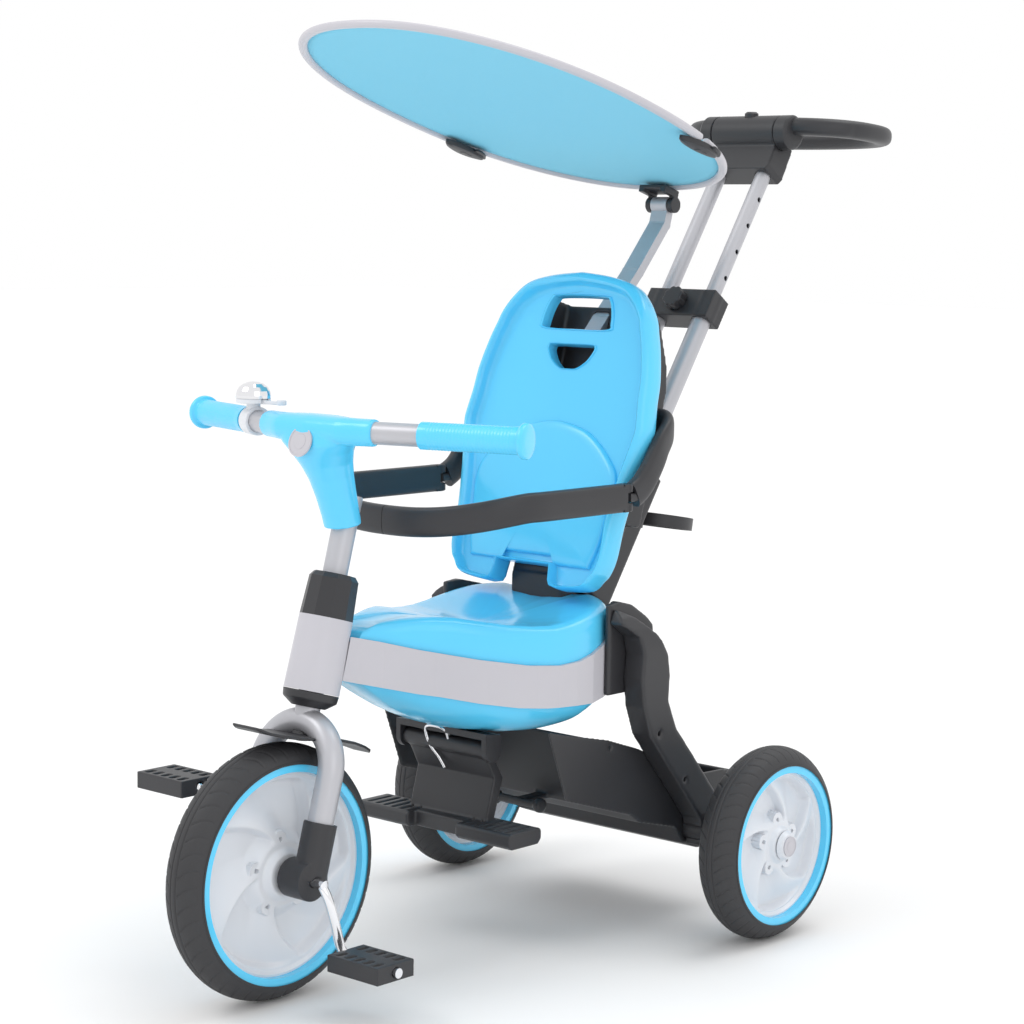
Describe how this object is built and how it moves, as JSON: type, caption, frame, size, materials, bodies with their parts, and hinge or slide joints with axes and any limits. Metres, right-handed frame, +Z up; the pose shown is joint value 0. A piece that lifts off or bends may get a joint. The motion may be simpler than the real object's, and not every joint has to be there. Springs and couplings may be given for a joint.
{
  "type": "children's tricycle",
  "caption": "Pedal tricycle for a toddler with a steered front wheel, guard rail, folding footrest, sun canopy and a telescoping push handle.",
  "frame": {"origin": "on the ground under the middle of the whole tricycle", "axes": "+Z up, -Y the way the child faces, +X the child's left"},
  "size_m": [0.503, 1.0537, 0.9521],
  "materials": {
    "black_plastic": "fine satin texture",
    "tyre": "matt foam rubber with a moulded tread",
    "blue_plastic": "gloss",
    "white_plastic": "soft gloss",
    "grey_plastic": "satin",
    "silver_tube": "silver paint, satin",
    "bright_steel": "polished",
    "canopy_fabric": "close plain weave"
  },
  "bodies": {
    "base": {"head_tube": "grey_plastic", "upper_collar": "black_plastic", "frame_band": "grey_plastic", "spine_tube": "silver_tube", "belly_shell": "blue_plastic", "seat": "blue_plastic", "rear_bridge": "black_plastic", "rear_legs": "black_plastic", "rear_tub": "black_plastic", "axle_beam": "black_plastic", "rear_axle": "bright_steel", "rear_column": "black_plastic", "backrest_shell": "blue_plastic", "backrest_panel": "blue_plastic", "backrest_rear": "black_plastic", "rail_yokes": "black_plastic", "cup_ring": "black_plastic", "canopy_pole": "silver_tube", "push_tubes_lower": "silver_tube", "mid_clamp": "black_plastic", "footrest_bracket": "black_plastic"},
    "steering": {"fork": "silver_tube", "axle_housings": "black_plastic", "fender": "black_plastic", "lower_collar": "black_plastic", "handlebar": "silver_tube", "handlebar_cover": "blue_plastic", "grips": "blue_plastic", "bell_base": "white_plastic", "bell_dome": "bright_steel"},
    "bell_lever": {"bell_lever": "white_plastic"},
    "front_wheel": {"front_tyre": "tyre", "front_rim": "blue_plastic", "front_disc": "white_plastic", "crank": "bright_steel"},
    "pedal_left": {"pedal_left": "black_plastic"},
    "pedal_right": {"pedal_right": "black_plastic"},
    "rear_wheel_left": {"rear_tyre_left": "tyre", "rear_rim_left": "blue_plastic", "rear_disc_left": "white_plastic", "rear_cap_left": "white_plastic"},
    "rear_wheel_right": {"rear_tyre_right": "tyre", "rear_rim_right": "blue_plastic", "rear_disc_right": "white_plastic", "rear_cap_right": "white_plastic"},
    "rail_left": {"guard_rail_left": "black_plastic"},
    "rail_right": {"guard_rail_right": "black_plastic"},
    "footrest": {"footrest": "black_plastic"},
    "clamp_knob": {"clamp_knob": "black_plastic"},
    "push_handle": {"push_tubes_upper": "silver_tube", "handle_bracket": "black_plastic"},
    "handle_button": {"handle_button": "black_plastic"},
    "loop": {"handle_loop": "black_plastic"},
    "canopy": {"hoop_rear": "grey_plastic", "fabric_rear": "canopy_fabric", "canopy_fittings": "black_plastic"},
    "visor": {"hoop_front": "grey_plastic", "fabric_front": "canopy_fabric"}
  },
  "joints": [
    {"name": "steering", "type": "hinge", "parent": "base", "child": "steering", "pos_m": [0, -0.34978, 0.2922], "axis": [0, 0.2656, 0.9641], "range_deg": [-40, 40]},
    {"name": "front_wheel_spin", "type": "hinge", "parent": "steering", "child": "front_wheel", "pos_m": [0, -0.39988, 0.127], "axis": [1, 0, 0], "continuous": true},
    {"name": "pedal_left_spin", "type": "hinge", "parent": "front_wheel", "child": "pedal_left", "pos_m": [0.118, -0.38237, 0.05407], "axis": [1, 0, 0], "continuous": true},
    {"name": "pedal_right_spin", "type": "hinge", "parent": "front_wheel", "child": "pedal_right", "pos_m": [-0.118, -0.41739, 0.19993], "axis": [1, 0, 0], "continuous": true},
    {"name": "rear_wheel_left_spin", "type": "hinge", "parent": "base", "child": "rear_wheel_left", "pos_m": [0.2225, 0.11512, 0.104], "axis": [1, 0, 0], "continuous": true},
    {"name": "rear_wheel_right_spin", "type": "hinge", "parent": "base", "child": "rear_wheel_right", "pos_m": [-0.2225, 0.11512, 0.104], "axis": [1, 0, 0], "continuous": true},
    {"name": "bell_lever_press", "type": "hinge", "parent": "steering", "child": "bell_lever", "pos_m": [-0.093, -0.32709, 0.577], "axis": [0, 0, 1], "range_deg": [0, 10], "stiffness_Nm_per_rad": 0.05},
    {"name": "footrest_fold", "type": "hinge", "parent": "base", "child": "footrest", "pos_m": [0, -0.14988, 0.218], "axis": [1, 0, 0], "range_deg": [0, 70]},
    {"name": "rail_left_open", "type": "hinge", "parent": "base", "child": "rail_left", "pos_m": [0.133, -0.02588, 0.478], "axis": [0, 0, 1], "range_deg": [0, 90]},
    {"name": "rail_right_open", "type": "hinge", "parent": "base", "child": "rail_right", "pos_m": [-0.133, -0.02588, 0.478], "axis": [0, 0, -1], "range_deg": [0, 90]},
    {"name": "handle_slide", "type": "slide", "parent": "base", "child": "push_handle", "axis": [0, 0.5577, 0.83], "range_m": [-0.12, 0]},
    {"name": "clamp_knob_turn", "type": "hinge", "parent": "base", "child": "clamp_knob", "pos_m": [0, 0.22417, 0.67387], "axis": [0, -0.83, 0.5577], "range_deg": [0, 180]},
    {"name": "handle_tilt", "type": "hinge", "parent": "push_handle", "child": "loop", "pos_m": [0, 0.35712, 0.868], "axis": [1, 0, 0], "range_deg": [-50, 50]},
    {"name": "handle_button_press", "type": "slide", "parent": "push_handle", "child": "handle_button", "axis": [0, 0, -1], "range_m": [0, 0.003], "stiffness_N_per_m": 400, "springref_m": -0.0005},
    {"name": "canopy_tilt", "type": "hinge", "parent": "base", "child": "canopy", "pos_m": [0, 0.19312, 0.782], "axis": [1, 0, 0], "range_deg": [-20, 12]},
    {"name": "visor_fold", "type": "hinge", "parent": "canopy", "child": "visor", "pos_m": [0, 0.04052, 0.83902], "axis": [1, 0, 0], "range_deg": [0, 50]}
  ]
}
